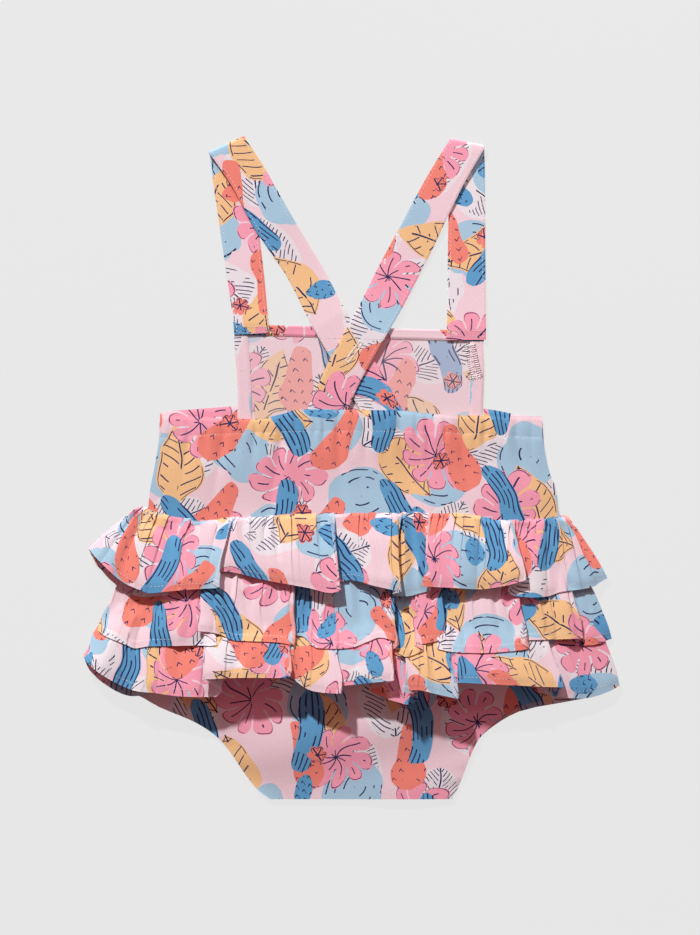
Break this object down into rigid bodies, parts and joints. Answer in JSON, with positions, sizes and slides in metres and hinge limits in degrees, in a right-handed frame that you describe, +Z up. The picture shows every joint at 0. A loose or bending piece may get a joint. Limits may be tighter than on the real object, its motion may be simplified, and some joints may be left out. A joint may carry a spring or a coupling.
{
  "type": "baby sunsuit with crossed straps and back ruffles",
  "caption": "Sleeveless baby sunsuit laid flat with its back up: bib, straps crossed behind, elastic back waist, gathered ruffle tiers and cut-away legs.",
  "frame": {"origin": "middle of the garment's box, on the surface that its front lies on", "axes": "+X to the right seen from above, +Y from the crotch towards the shoulder straps, +Z up from the surface through the back"},
  "size_m": [0.354, 0.438, 0.026],
  "materials": {
    "body_poplin": "printed woven cotton poplin, matt with a faint sheen",
    "bib_inside": "wrong side of printed cotton poplin, paler and matt",
    "ruffle_poplin": "printed woven cotton poplin, matt with a faint sheen",
    "strap_poplin": "printed woven cotton poplin, matt with a faint sheen"
  },
  "bodies": {
    "root": {"front_panel": "body_poplin", "back_panel": "body_poplin", "back_waist_casing": "body_poplin", "front_waist_hem_left": "body_poplin", "front_waist_hem_right": "body_poplin", "front_bib": "bib_inside", "bib_side_hem_left": "bib_inside", "bib_side_hem_right": "bib_inside", "bib_top_hem": "body_poplin", "ruffle_tier_1": "ruffle_poplin", "ruffle_tier_2": "ruffle_poplin", "ruffle_tier_3": "ruffle_poplin", "strap_left": "strap_poplin", "strap_right": "strap_poplin"}
  },
  "joints": []
}
